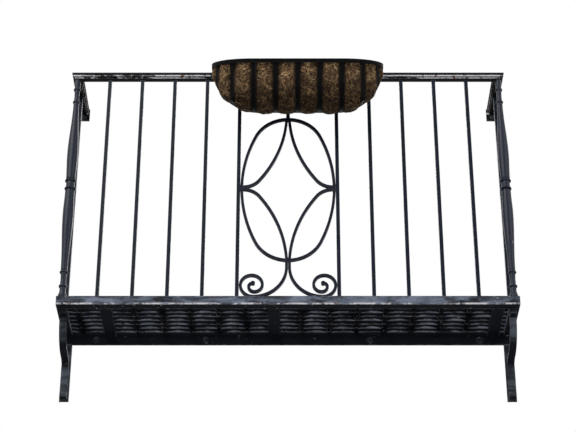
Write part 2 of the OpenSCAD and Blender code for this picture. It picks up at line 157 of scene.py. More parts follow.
class IronworkSettings(bpy.types.PropertyGroup):
    """Colours and wear of the ironwork, and the sizes of its welds and bolts"""

    rail_paint: colour("Rail paint", "Gloss paint on the handrail", shade(11, 12, 15))
    iron_paint: colour("Iron paint", "Gloss paint on posts and bars", shade(14, 19, 31))
    floor_paint: colour("Floor frame paint", "Chalky paint on the frame", shade(60, 65, 75))
    grating_paint: colour("Grating paint", "Paint under the floor", shade(15, 18, 25))
    bracket_paint: colour("Bracket paint", "Paint on the curled braces", shade(50, 54, 61))
    # The slats' pale paint is a painted highlight low on each slat
    chalky_paint: colour("Chalky paint", "Paint low on the slats", shade(113, 118, 130))
    # The primer's paleness also makes the painted highlight in the pale bands on the rail and the
    # floor frame
    primer: colour("Worn paint", "Pale primer where the paint is gone", shade(222, 220, 226))
    rust: colour("Rust", "Rust in the deepest chips", shade(98, 58, 36))
    wear: share("Wear", "How much of the paint is worn away", 0.4)
    weld_leg: length("Weld leg", "Height of a weld bead", 0.0034, 0.001, 0.008)
    bolt_head: length("Bolt head", "Width of a bolt head across its flats", 0.017, 0.01, 0.024)


class PlanterSettings(bpy.types.PropertyGroup):
    """Colours and sizes of the planter basket and its coir liner"""

    bar_paint: colour("Basket paint", "Satin coating on the basket's bars", shade(9, 9, 10))
    coir_dark: colour("Dark coir", "Coir in the shade of its fibres", shade(52, 37, 25))
    coir_light: colour("Light coir", "Dry coir fibres", shade(232, 186, 136))
    bulge: length("Bulge", "How far the liner swells between the ribs", 0.0115, 0, 0.016)
    fibre_length: length("Fibre length", "Mean length of a loose fibre", 0.034, 0.01, 0.08)
    fibre_width: length("Fibre width", "Thickness of a loose fibre", 0.0007, 0.0003, 0.0015)
    fibre_count: IntProperty(
        name="Fibres", description="Loose fibres on the liner", default=4200, min=100, max=6000
    )


class StudioSettings(bpy.types.PropertyGroup):
    """Floor, lamps and camera"""

    floor_colour: colour("Studio floor", "Plain pale floor", shade(236, 236, 234))
    floor_drop: length("Floor drop", "From the wall ledger down to the floor", 5.6, 3.3, 9)
    lamp_power: FloatProperty(
        name="Lamp power",
        description="Power of the main lamp in watts",
        unit="POWER",
        default=400,
        min=0,
        max=3000,
    )
    ambient: share("Ambient light", "Even light from all around", 0.25)
    floor_glow: share("Floor glow", "White that the camera sees on the floor", 0.6)
    camera_away: length("Camera distance", "From the wall to the camera", 5.51, 3, 9)
    camera_pitch: FloatProperty(
        name="Camera pitch",
        description="How steeply the camera looks up",
        subtype="ANGLE",
        unit="ROTATION",
        default=math.radians(31),
    )
    lens: FloatProperty(
        name="Lens", description="Focal length in millimetres", default=112, min=30, max=200
    )


class Finish:
    """One node material, with short calls for the nodes that a finish is made of"""

    def __init__(self, name):
        self.material = bpy.data.materials.new(name)
        self.material.use_nodes = True
        self.tree = self.material.node_tree
        self.tree.nodes.clear()
        self.shader = self.node("ShaderNodeBsdfPrincipled")
        output = self.node("ShaderNodeOutputMaterial")
        self.tree.links.new(self.shader.outputs[0], output.inputs[0])
        self.place = self.node("ShaderNodeTexCoord").outputs["Object"]

    def set(self, socket, value):
        if isinstance(value, bpy.types.NodeSocket):
            self.tree.links.new(value, socket)
        elif socket.type == "RGBA" and len(value) == 3:
            socket.default_value = (*value, 1)
        else:
            socket.default_value = value

    def node(self, kind, inputs=None, **settings):
        made = self.tree.nodes.new(kind)
        for key, value in settings.items():
            setattr(made, key, value)
        for key, value in (inputs or {}).items():
            self.set(made.inputs[key], value)
        return made

    def stretched(self, scale, turn=(0, 0, 0)):
        inputs = {"Vector": self.place, "Scale": scale, "Rotation": turn}
        return self.node("ShaderNodeMapping", inputs).outputs[0]

    def noise(self, scale, detail=3, rough=0.5, place=None, warp=0):
        inputs = {
            "Vector": place or self.place,
            "Scale": scale,
            "Detail": detail,
            "Roughness": rough,
            "Distortion": warp,
        }
        return self.node("ShaderNodeTexNoise", inputs).outputs["Fac"]

    def spread(self, value, low, high, to_low=0.0, to_high=1.0):
        """Stretches the range from low to high over a new one, and clips what is past it"""
        inputs = {0: value, 1: low, 2: high, 3: to_low, 4: to_high}
        return self.node("ShaderNodeMapRange", inputs).outputs[0]

    def math(self, operation, first, second=0.5):
        made = self.node("ShaderNodeMath", {0: first, 1: second}, operation=operation)
        return made.outputs[0]

    def times(self, first, second):
        return self.math("MULTIPLY", first, second)

    def plus(self, first, second):
        return self.math("ADD", first, second)

    def less(self, first, second):
        return self.math("SUBTRACT", first, second)

    def most(self, first, second):
        return self.math("MAXIMUM", first, second)

    def mix(self, amount, first, second):
        made = self.node("ShaderNodeMix", {0: amount, 6: first, 7: second}, data_type="RGBA")
        return made.outputs[2]

    def attribute(self, name):
        return self.node("ShaderNodeAttribute", attribute_name=name).outputs["Fac"]

    def part(self, vector, axis):
        """A vector's part along X, Y or Z"""
        return self.node("ShaderNodeSeparateXYZ", {0: vector}).outputs[axis]

    def normal(self):
        return self.node("ShaderNodeNewGeometry").outputs["Normal"]

    def facing_down(self):
        """1 on the underside of a bar"""
        return self.spread(self.part(self.normal(), "Z"), -0.5, -0.8)

    def upright(self):
        """1 on faces that stand upright and 0 on level ones"""
        return self.spread(self.math("ABSOLUTE", self.part(self.normal(), "Z")), 0.5, 0.2)

    def edges(self, radius):
        """1 on the edges of a bar and 0 on its faces"""
        rounded = self.node("ShaderNodeBevel", {"Radius": radius}, samples=6).outputs[0]
        inputs = {0: rounded, 1: self.normal()}
        dot = self.node("ShaderNodeVectorMath", inputs, operation="DOT_PRODUCT")
        return self.spread(dot.outputs["Value"], 0.992, 0.90)

    def bump(self, height, strength, distance):
        inputs = {"Strength": strength, "Distance": distance, "Height": height}
        self.set(self.shader.inputs["Normal"], self.node("ShaderNodeBump", inputs).outputs[0])

    def finish(self, colour, roughness, shine):
        self.set(self.shader.inputs["Base Color"], colour)
        self.set(self.shader.inputs["Roughness"], roughness)
        self.set(self.shader.inputs["Specular IOR Level"], shine)
        return self.material


def lighter(colour, factor):
    """A paler colour, or a darker one for a factor below 1"""
    return tuple(min(1.0, part * factor) for part in colour)


def worn_paint(
    name,
    paint,
    primer,
    rust,
    wear,
    roughness,
    shine,
    grain=(1, 1, 0.06),
    band=None,
    chalky=None,
    sheltered=None,
    stains=0,
):
    """Old brushed paint over iron: brush marks, worn edges, chips down to primer and rust"""
    made = Finish(name)
    blotches = made.noise(13, detail=5, rough=0.6)
    brush = made.noise(320, detail=4, rough=0.6, place=made.stretched(grain))
    chips = made.noise(70, detail=8, rough=0.72, warp=0.4)
    worn_and_lit = lost_paint(made, chips, wear)
    # The band is partly flaked paint and partly a painted highlight, shown in the primer's colour
    if band:
        worn_and_lit = made.most(worn_and_lit, flaked_and_lit_band(made, **band))
    base = made.mix(blotches, lighter(paint, 0.62), lighter(paint, 1.5))
    base = made.mix(made.times(brush, 0.35), base, lighter(paint, 2.1))
    if stains:
        base = stained(made, base, paint, stains)
    # Painted shade: a darker colour on faces that look down
    if sheltered:
        base = made.mix(made.facing_down(), base, sheltered)
    # Painted highlight: a pale colour low on each slat
    if chalky:
        base = made.mix(slat_painted_light(made), base, chalky)
    speckle = made.spread(made.noise(700, detail=2), 0.3, 0.7)
    shown = made.mix(worn_and_lit, base, made.mix(speckle, primer, lighter(primer, 0.45)))
    deep = made.times(worn_and_lit, made.spread(made.noise(46), 0.57, 0.62))
    shown = made.mix(deep, shown, rust)
    rough = made.spread(blotches, 0.3, 0.7, to_low=roughness, to_high=roughness + 0.16)
    rough = made.plus(rough, made.times(worn_and_lit, 0.4))
    height = made.plus(made.times(brush, 0.5), made.times(chips, 0.5))
    made.bump(made.less(height, worn_and_lit), strength=0.5, distance=0.0009)
    return made.finish(shown, rough, shine)


def lost_paint(made, chips, wear):
    """1 where the paint has chipped off or is rubbed off an edge"""
    chipped = made.spread(chips, 0.72 - 0.16 * wear, 0.735 - 0.16 * wear)
    rubbed = made.times(made.edges(0.0016), made.spread(chips, 0.40, 0.56))
    patches = made.spread(made.noise(22, detail=4, rough=0.6), 0.42, 0.6)
    rubbed = made.times(rubbed, made.times(patches, 0.35 + wear))
    return made.most(chipped, rubbed)


def stained(made, base, paint, amount):
    """Pale and dark streaks that the weather leaves on a bar"""
    place = made.stretched((0.5, 1, 1.6))
    streaks = made.noise(26, detail=6, rough=0.65, place=place, warp=0.5)
    broad = made.spread(made.noise(3.5, detail=2), 0.35, 0.65, to_low=-0.07, to_high=0.07)
    streaks = made.plus(streaks, broad)
    pale = made.times(made.spread(streaks, 0.48, 0.62), amount)
    dark = made.times(made.spread(streaks, 0.49, 0.38), amount)
    return made.mix(dark, made.mix(pale, base, lighter(paint, 3.4)), lighter(paint, 0.25))


def flaked_and_lit_band(made, low, high, amount, outside=False):
    """Paint flaked off in clumps along upright faces, between two heights; partly real flaking
    and partly a painted highlight on the face that catches the light
    """
    height = made.part(made.place, "Z")
    inside = made.times(made.upright(), made.math("GREATER_THAN", height, low))
    inside = made.times(inside, made.math("LESS_THAN", height, high))
    if outside:
        inside = made.times(inside, outer_faces(made))
    flakes = made.noise(38, detail=7, rough=0.68, place=made.stretched((1, 1, 1.8)), warp=0.6)
    clumps = made.spread(made.noise(9, rough=0.6), 0.38, 0.62, to_low=-0.12, to_high=0.12)
    start = 0.57 - 0.2 * amount
    return made.times(inside, made.spread(made.plus(flakes, clumps), start, start + 0.1))


def outer_faces(made):
    """1 on the front of the floor frame and on its two ends"""
    skin = 0.005
    front = made.math("LESS_THAN", made.part(made.place, "Y"), FRAME_FRONT + skin)
    across = made.math("ABSOLUTE", made.part(made.place, "X"))
    return made.most(front, made.math("GREATER_THAN", across, FRAME_HALF - skin))


def slat_painted_light(made):
    """Painted light on the lower part of each slat, where light from below gets past the slat in
    front, widest half way between two spacer bars
    """
    panels = made.math("DIVIDE", made.part(made.place, "X"), TIE_PITCH)
    off_middle = made.math("PINGPONG", panels, 0.5)
    each = made.noise(11, rough=0.6, place=made.stretched((1, 5, 0.1)))
    tall = made.spread(each, 0.34, 0.62, to_low=0.6, to_high=1.15)
    arch = made.less(tall, made.math("POWER", made.math("DIVIDE", off_middle, 0.42), 2))
    high = made.spread(made.part(made.place, "Z"), SLAT_LOW, SLAT_LOW + SLAT_TALL)
    edge = made.spread(made.less(made.times(arch, 0.39), high), -0.02, 0.12)
    streaky = made.noise(60, detail=4, rough=0.7, place=made.stretched((1, 5, 2)))
    streaky = made.spread(streaky, 0.4, 0.7, to_low=-0.3, to_high=0.5)
    strength = made.plus(made.spread(each, 0.36, 0.64), streaky)
    return made.times(edge, made.spread(strength, 0, 1.1, to_low=0.05))


def coir_shadow(made):
    """Painted shade in the creases beside the ribs, and painted shade that darkens the lower part
    of the basket
    """
    uneven = made.noise(20, detail=4, rough=0.6)
    uneven = made.spread(uneven, 0.36, 0.66, to_low=0.12, to_high=-0.12)
    # Painted shade beside the ribs, where the mat dips
    crease = made.spread(made.attribute("swell"), 0.46, 0.86, to_low=0.95, to_high=0)
    # Painted shade, darker towards the bottom where the mat faces down
    lower_shade = made.spread(made.plus(made.attribute("drop"), uneven), 0.34, 0.76, to_high=0.66)
    return made.most(crease, lower_shade)


# Turn and fineness of each layer of strands in the mat
STRANDS = (((0.3, 0.9, 0.4), 120), ((1.2, -0.5, 1.1), 170), ((-0.8, 0.4, 2.2), 260))


def coir_finish(name, dark, light):
    """Pressed coir: clumps and crossed strands, with painted shade beside the ribs and in the
    lower part
    """
    made = Finish(name)
    mat = 0
    for turn, scale in STRANDS:
        place = made.stretched((1, 0.14, 1), turn)
        strands = made.noise(scale, detail=4, rough=0.7, place=place, warp=0.5)
        mat = made.most(mat, made.spread(strands, 0.5, 0.64))
    clumps = made.spread(made.noise(85, detail=5, rough=0.7, warp=0.3), 0.46, 0.58)
    patches = made.noise(20, detail=4, rough=0.6)
    patches = made.spread(patches, 0.36, 0.66, to_low=0.6, to_high=1.1)
    tone = made.times(mat, made.times(patches, made.spread(clumps, 0, 1, to_low=0.3)))
    shown = made.mix(tone, dark, light)
    holes = made.spread(made.noise(110, detail=4, rough=0.6), 0.55, 0.66)
    shown = made.mix(made.times(holes, 0.85), shown, lighter(dark, 0.3))
    # Painted shade beside the ribs and lower down
    shown = made.mix(coir_shadow(made), shown, lighter(dark, 0.3))
    made.bump(made.plus(mat, clumps), strength=0.9, distance=0.003)
    rough = made.spread(mat, 0, 1, to_low=0.98, to_high=0.84)
    return made.finish(shown, rough, shine=0.12)


def fibre_finish(name, dark, light):
    """Loose coir fibres, each with its own tone"""
    made = Finish(name)
    each = made.node("ShaderNodeNewGeometry").outputs["Random Per Island"]
    bright = made.times(made.math("POWER", each, 2), 2.1)
    patches = made.spread(made.noise(45), 0.38, 0.6, to_low=0.25, to_high=1.1)
    shown = made.mix(made.times(bright, patches), lighter(dark, 0.6), lighter(light, 1.35))
    # The same painted shade as the mat
    shown = made.mix(coir_shadow(made), shown, lighter(dark, 0.3))
    made.bump(made.noise(1800, detail=2), strength=0.3, distance=0.0002)
    rough = made.spread(each, 0, 1, to_low=0.85, to_high=0.6)
    return made.finish(shown, rough, shine=0.25)


def iron_finish(settings, name, paint, wear, **more):
    """Worn paint with the ironwork's own primer and rust, and its share of the wear"""
    return worn_paint(name, paint, settings.primer, settings.rust, settings.wear * wear, **more)


def bracket_finish(settings, name):
    """Paint of the brackets, stained, with painted shade where it faces down"""
    return iron_finish(
        settings,
        name,
        settings.bracket_paint,
        wear=1,
        roughness=0.45,
        shine=0.1,
        sheltered=settings.grating_paint,
        stains=0.7,
    )


def dress(nodes, material):
    """Puts a material on CAD nodes"""
    for name in nodes:
        if name not in frame["nodes"]:
            raise RuntimeError(f"the balcony has no part named {name}")
        slots = frame["nodes"][name].data.materials
        slots.clear()
        slots.append(material)


def both(name):
    """The names of a part's left and right copies"""
    return [f"{name}_left", f"{name}_right"]


def add_piece(name, mesh):
    """Puts a mesh in the scene as a piece that rides on the balcony"""
    piece = bpy.data.objects.new(name, mesh)
    bpy.context.scene.collection.objects.link(piece)
    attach(piece, "root")
    return piece


class Shapes:
    """Gathers the vertices and faces of many small shapes for one piece"""

    # A weld bead's section, outwards and upwards, for a leg of 1
    BEAD = ((-0.15, -0.1), (1, -0.1), (0.78, 0.42), (0.42, 0.78), (-0.15, 1))
    # Places of a square bead's points along each side, for a half side of 1
    SIDE_POINTS = (-0.86, -0.5, -0.17, 0.17, 0.5, 0.86)
    # Levels of a bolt head: height, width and how far it is rounded, for a height of 1
    HEAD_LEVELS = ((0, 1, 0), (0.72, 1, 0), (0.92, 0.955, 0.5), (1, 0.84, 1))

    def __init__(self, seed):
        self.vertices = []
        self.faces = []
        self.chance = random.Random(seed)

    def loft(self, rings, closed):
        """Skins a row of rings with the same number of points; a closed row joins its ends"""
        start = len(self.vertices)
        count = len(rings[0])
        for ring in rings:
            self.vertices.extend(ring)
        last = len(rings) if closed else len(rings) - 1
        for i in range(last):
            here = start + i * count
            there = start + (i + 1) % len(rings) * count
            for k in range(count):
                after = (k + 1) % count
                self.faces.append((here + k, here + after, there + after, there + k))
        if not closed:
            self.faces.append(tuple(range(start, start + count)))
            end = start + (len(rings) - 1) * count
            self.faces.append(tuple(range(end, end + count)))

    def bead(self, outline, up, leg):
        """A weld bead round an outline of (point, outward direction) on a plate facing up"""
        rings = []
        for point, out in outline:
            size = leg * self.chance.uniform(0.78, 1.2)
            rings.append([point + size * (a * out + b * up) for a, b in self.BEAD])
        self.loft(rings, True)

    def square_bead(self, centre, half, up, leg):
        """A weld bead round a square bar that stands on a level plate"""
        side, front = Vector((1, 0, 0)), Vector((0, 1, 0))
        outline = []
        for k in range(4):
            out, along = (side, front) if k % 2 == 0 else (front, -side)
            sign = 1 if k < 2 else -1
            for t in self.SIDE_POINTS:
                outline.append((centre + sign * half * (out + t * along), sign * out))
            corner = (sign * out + sign * along).normalized()
            outline.append((centre + sign * half * 0.97 * (out + along), corner))
        self.bead(outline, up, leg)

    def round_bead(self, centre, radius, up, leg, steps=26):
        """A weld bead round a round bar that stands on a level plate"""
        outline = []
        for k in range(steps):
            angle = 2 * math.pi * k / steps
            out = Vector((math.cos(angle), math.sin(angle), 0))
            outline.append((centre + radius * out, out))
        self.bead(outline, up, leg)

    def weld_run(self, centre, along, half_long, half_wide, half_tall):
        """A short weld run: a rippled, rounded ridge"""
        across = along.cross(Vector((0, 1, 0))).normalized()
        up = across.cross(along)
        rings = []
        for i in range(9):
            t = -1 + i / 4
            swell = math.sqrt(max(0.0, 1 - t * t)) * 0.9 + 0.1
            swell *= 1 + self.chance.uniform(-0.09, 0.09) if 0 < i < 8 else 1
            ring = []
            for k in range(8):
                angle = math.pi * k / 4
                offset = half_wide * math.cos(angle) * across + half_tall * math.sin(angle) * up
                ring.append(centre + along * half_long * t + offset * swell)
            rings.append(ring)
        self.loft(rings, False)

    def turned(self, centre, axis, profile, steps=24):
        """A turned shape on an axis, from (distance along it, radius) pairs"""
        side = axis.orthogonal().normalized()
        front = axis.cross(side)
        rings = []
        for along, radius in profile:
            middle = centre + axis * along
            ring = []
            for k in range(steps):
                angle = 2 * math.pi * k / steps
                ring.append(middle + radius * (math.cos(angle) * side + math.sin(angle) * front))
            rings.append(ring)
        self.loft(rings, False)

    def hex_head(self, centre, axis, across_flats, tall):
        """A hexagon bolt head with its corners rounded off towards the top"""
        sixth = math.pi / 3
        start = self.chance.uniform(0, sixth)
        side = axis.orthogonal().normalized()
        front = axis.cross(side)
        rings = []
        for high, grow, roundness in self.HEAD_LEVELS:
            ring = []
            for k in range(24):
                angle = math.pi * k / 12
                from_flat = (angle + sixth / 2) % sixth - sixth / 2
                hexagon = across_flats / 2 / math.cos(from_flat)
                radius = hexagon * (1 - roundness) + across_flats / 2 * roundness
                turn = angle + start
                out = math.cos(turn) * side + math.sin(turn) * front
                ring.append(centre + axis * high * tall + out * radius * grow)
            rings.append(ring)
        self.loft(rings, False)

    def piece(self, name, material, slot_name):
        """Makes one smooth shaded piece of all the shapes"""
        mesh = bpy.data.meshes.new(name)
        mesh.from_pydata([tuple(v) for v in self.vertices], [], self.faces)
        mesh.validate()
        outward = bmesh.new()
        outward.from_mesh(mesh)
        bmesh.ops.recalc_face_normals(outward, faces=outward.faces)
        outward.to_mesh(mesh)
        outward.free()
        mesh.shade_smooth()
        mesh.materials.append(material)
        return add_piece(name, mesh)


# Planter basket's own frame: x along the rail, y away from the wall, z up, rim at z = 0
def from_basket(x, y, z):
    sin, cos = math.sin(BASKET_TILT), math.cos(BASKET_TILT)
    return Vector((x + BASKET_X, -BASKET_Y - y * cos - z * sin, BASKET_Z - y * sin + z * cos))


def to_basket(point):
    sin, cos = math.sin(BASKET_TILT), math.cos(BASKET_TILT)
    y, z = point[1] + BASKET_Y, point[2] - BASKET_Z
    return point[0] - BASKET_X, -(y * cos + z * sin), -y * sin + z * cos


def past_round(u, v, half, deep, radius):
    """How far a point is past a shape with straight sides and rounded front corners"""
    a, b = abs(u) - (half - radius), v - (deep - radius)
    return math.hypot(max(a, 0), max(b, 0)) + min(max(a, b), 0) - radius


def past_liner(x, y, z):
    """How far a point is outside the liner's outer face, negative inside"""
    no_back = 1.0
    return max(
        past_round(x, y, LINER_HALF, LINER_DEEP, PLAN_ROUND),
        past_round(x, -z, LINER_HALF, LINER_LOW, SIDE_ROUND),
        past_round(y + no_back, -z, LINER_DEEP + no_back, LINER_LOW, BELLY_ROUND),
    )


def liner_front(x):
    """How far the liner's front reaches from its back, at one place along the rail"""
    past = abs(x) - (LINER_HALF - PLAN_ROUND)
    if past <= 0:
        return LINER_DEEP
    return LINER_DEEP - (PLAN_ROUND - math.sqrt(PLAN_ROUND**2 - past**2))


def between_ribs(x):
    """0 at a rib and 1 half way to the next one"""
    ends = (*RIB_X, LINER_HALF + 0.02)
    for near, far in zip(ends, ends[1:]):
        if near <= abs(x) <= far:
            return math.sin(math.pi * (abs(x) - near) / (far - near)) ** 0.8
    return 0.0


def smooth_step(value, low, high):
    t = min(1.0, max(0.0, (value - low) / (high - low)))
    return t * t * (3 - 2 * t)


# Points this near the liner's outer face belong to it, and points this near its rim to the rim
OUTER_SKIN = 0.006
RIM_SKIN = 0.004


def mark_panels(mesh):
    """Notes for the coir's finishes, for their painted shade, how far each point is from a rib
    and below the rim
    """
    swells, drops = [], []
    for vertex in mesh.vertices:
        x, y, z = to_basket(vertex.co)
        swells.append(between_ribs(x) if past_liner(x, y, z) > -OUTER_SKIN else 1.0)
        drops.append(-z / LINER_LOW)
    for name, values in (("swell", swells), ("drop", drops)):
        mesh.attributes.new(name, "FLOAT", "POINT").data.foreach_set("value", values)


def even_liner():
    """The liner's solid as one closed mesh of small, even faces"""
    source = frame["nodes"]["coir_liner"].data.copy()
    closed = bmesh.new()
    closed.from_mesh(source)
    bmesh.ops.remove_doubles(closed, verts=closed.verts, dist=1e-6)
    closed.to_mesh(source)
    closed.free()
    rough = bpy.data.objects.new("rough_liner", source)
    bpy.context.scene.collection.objects.link(rough)
    remesh = rough.modifiers.new("remesh", "REMESH")
    remesh.mode = "VOXEL"
    remesh.voxel_size = 0.0036
    rough.modifiers.new("smooth", "SMOOTH").iterations = 6
    view = bpy.context.evaluated_depsgraph_get()
    mesh = bpy.data.meshes.new_from_object(rough.evaluated_get(view))
    bpy.data.objects.remove(rough)
    return mesh


def swelling(bulge, x, y, z):
    """How far the mat's outer face is pushed out between the ribs and pulled in at them"""
    low = smooth_step(-z, 0.012, 0.07)
    front = smooth_step(y, -0.004, 0.014)
    end = smooth_step(abs(x), 0.26, LINER_HALF)
    front = max(front, end * smooth_step(y, -0.012, 0.004))
    low = max(low, end * smooth_step(-z, 0.012, 0.035))
    push = bulge * (0.3 + 0.7 * low) * front * between_ribs(x) - 0.0012 * front
    return push + 0.0014 * noise.noise(Vector((x * 25, 4, z * 9))) * front


def coir_shell(bulge):
    """The liner's shell, swollen between the ribs, lumpy all over and uneven at its rim"""
    mesh = even_liner()
    mark_panels(mesh)
    shaped = []
    for vertex in mesh.vertices:
        x, y, z = to_basket(vertex.co)
        normal = vertex.normal
        push = 0.0016 * noise.noise(vertex.co * 60) + 0.0009 * noise.noise(vertex.co * 170)
        if past_liner(x, y, z) > -OUTER_SKIN:
            push += swelling(bulge, x, y, z)
        if z > -RIM_SKIN:
            push = 0
            vertex.co.z += 0.004 * noise.noise(Vector((x * 70, y * 70, 1.7)))
        shaped.append(vertex.co + normal * push)
    for vertex, place in zip(mesh.vertices, shaped):
        vertex.co = place
    mesh.shade_smooth()
    return mesh


def lay_fibre(shapes, tree, start, heading, settings, loose, thick):
    """One fibre that wanders over the liner's surface, as a thin three sided tube"""
    chance = shapes.chance
    steps = 6
    step = settings.fibre_length * chance.uniform(0.5, 1.5) / steps
    radius = settings.fibre_width / 2 * chance.uniform(0.6, 1.2) * thick
    bend = chance.uniform(-0.35, 0.35)
    wave = chance.uniform(0, FULL_TURN)
    point, rings = start, []
    for i in range(steps + 1):
        found, normal, _, _ = tree.find_nearest(point)
        heading = (heading - heading.dot(normal) * normal).normalized()
        lift = radius * 0.4 + loose * (0.5 + 0.5 * math.sin(wave + i * 1.3))
        centre = found + normal * lift
        side = normal.cross(heading)
        thin = radius * (0.35 if i in (0, steps) else 1)
        ring = []
        for angle in (0.5, 2.6, 4.7):
            ring.append(centre + thin * (math.cos(angle) * side + math.sin(angle) * normal))
        rings.append(ring)
        heading = (heading + side * (bend + chance.uniform(-0.25, 0.25))).normalized()
        point = found + heading * step
    shapes.loft(rings, False)


class BALCONY_OT_handrail(bpy.types.Operator):
    """Worn gloss paint on the moulded rail, with pale bands under its nose that are partly flaked
    paint and partly a painted highlight
    """

    bl_idname = "balcony.handrail"
    bl_label = "Handrail"

    def execute(self, context):
        settings = context.scene.balcony_ironwork
        cap = iron_finish(
            settings,
            "rail_cap_paint",
            settings.rail_paint,
            wear=0.7,
            roughness=0.26,
            shine=0.12,
            grain=(0.3, 0.3, 1),
            band={"low": CAP_Z - 0.001, "high": NOSE_Z + 0.0008, "amount": 0.68},
        )
        bar = iron_finish(
            settings,
            "under_bar_paint",
            settings.rail_paint,
            wear=0.8,
            roughness=0.3,
            shine=0.12,
            grain=(0.3, 0.3, 1),
            band={"low": UNDER_BAR_Z - 0.0005, "high": CAP_Z + 0.0008, "amount": 0.6},
        )
        dress(["handrail_front", *both("handrail")], cap)
        dress(["under_bar_front", *both("under_bar"), *both("rail_flange")], bar)
        return {"FINISHED"}


class BALCONY_OT_posts(bpy.types.Operator):
    """Gloss paint on the turned posts"""

    bl_idname = "balcony.posts"
    bl_label = "Corner posts"

    def execute(self, context):
        settings = context.scene.balcony_ironwork
        paint = lighter(settings.iron_paint, 1.3)
        made = iron_finish(settings, "post_paint", paint, wear=0.8, roughness=0.26, shine=0.17)
        dress(both("post"), made)
        return {"FINISHED"}


class BALCONY_OT_balusters(bpy.types.Operator):
    """Gloss paint on the square balusters"""

    bl_idname = "balcony.balusters"
    bl_label = "Balusters"

    def execute(self, context):
        settings = context.scene.balcony_ironwork
        made = iron_finish(
            settings, "baluster_paint", settings.iron_paint, wear=0.6, roughness=0.26, shine=0.1
        )
        names = [f"{row}_{i}" for row in both("baluster") for i in range(1, 6)]
        dress(names + both("side_baluster"), made)
        return {"FINISHED"}


class BALCONY_OT_ornament(bpy.types.Operator):
    """Gloss paint on the oval ring, the star and the scrolls"""

    bl_idname = "balcony.ornament"
    bl_label = "Ornament"

    def execute(self, context):
        settings = context.scene.balcony_ironwork
        made = iron_finish(
            settings,
            "ornament_paint",
            settings.iron_paint,
            wear=0.4,
            roughness=0.3,
            shine=0.1,
            grain=(0.5, 1, 0.5),
        )
        star = both("star_arc_upper") + both("star_arc_lower")
        dress(["centre_stem", "ornament_ring", *both("scroll"), *star], made)
        return {"FINISHED"}


class BALCONY_OT_floor(bpy.types.Operator):
    """Chalky worn paint on the floor frame and dark paint on the grating, with painted light and
    shade on both
    """

    bl_idname = "balcony.floor"
    bl_label = "Floor"

    def execute(self, context):
        settings = context.scene.balcony_ironwork
        # The frame's low pale band is partly flaked paint and partly a painted highlight, and its
        # underside has painted shade
        outer = iron_finish(
            settings,
            "floor_frame_paint",
            settings.floor_paint,
            wear=1.3,
            roughness=0.55,
            shine=0.1,
            grain=(0.06, 0.3, 1),
            band={"low": 0.0, "high": 0.0065, "amount": 0.6, "outside": True},
            sheltered=settings.grating_paint,
            stains=1,
        )
        under = iron_finish(
            settings,
            "bearer_paint",
            settings.grating_paint,
            wear=0.9,
            roughness=0.5,
            shine=0.06,
            grain=(1, 0.06, 1),
        )
        # The slats' paint is the grating paint darkened, as painted shade, with a painted
        # highlight low on each slat
        slats = iron_finish(
            settings,
            "slat_paint",
            lighter(settings.grating_paint, 0.35),
            wear=0.9,
            roughness=0.6,
            shine=0.03,
            grain=(0.06, 1, 1),
            chalky=settings.chalky_paint,
        )
        dress(["floor_front_bar", *both("floor_side_bar")], outer)
        dress(["floor_bearers"], under)
        dress(["floor_grating"], slats)
        return {"FINISHED"}


class BALCONY_OT_brackets(bpy.types.Operator):
    """Dark paint on the wall ledger, and stained paint with painted shade on the undersides of
    the wall bars and curled braces
    """

    bl_idname = "balcony.brackets"
    bl_label = "Ledger and brackets"

    def execute(self, context):
        settings = context.scene.balcony_ironwork
        ledger = iron_finish(
            settings, "ledger_paint", settings.grating_paint, wear=0.8, roughness=0.45, shine=0.08
        )
        dress(["wall_ledger"], ledger)
        brackets = both("bracket_brace") + both("bracket_wall_bar")
        dress(brackets, bracket_finish(settings, "bracket_paint"))
        return {"FINISHED"}


# Weld runs, as half their length, width and height in metres
BALUSTER_WELD = (0.011, 0.003, 0.0026)
STAR_WELD = (0.009, 0.0026, 0.0026)
STEM_WELD = (0.0085, 0.0026, 0.0028)
RING_FOOT_WELD = (0.009, 0.0026, 0.0028)
SCROLL_WELD = (0.012, 0.0026, 0.0026)
BRACE_END_WELD = (0.0115, 0.003, 0.003)
BRACE_SIDE_WELD = (0.014, 0.0028, 0.0028)
SPOT_WELD = (0.0065, 0.0016, 0.0024)
# A weld run's middle lies this far off the bars' faces
WELD_CLEAR = 0.0002
BRACE_END_WELD_Y = -0.1945
BRACE_SIDE_WELD_Z = (-0.178, -0.214)


def foot_x(name):
    """Where along the rail a part touches the floor frame"""
    points = [vertex.co for vertex in frame["nodes"][name].data.vertices]
    low = min(point.z for point in points)
    touching = [point.x for point in points if point.z < low + 0.0006]
    return (min(touching) + max(touching)) / 2


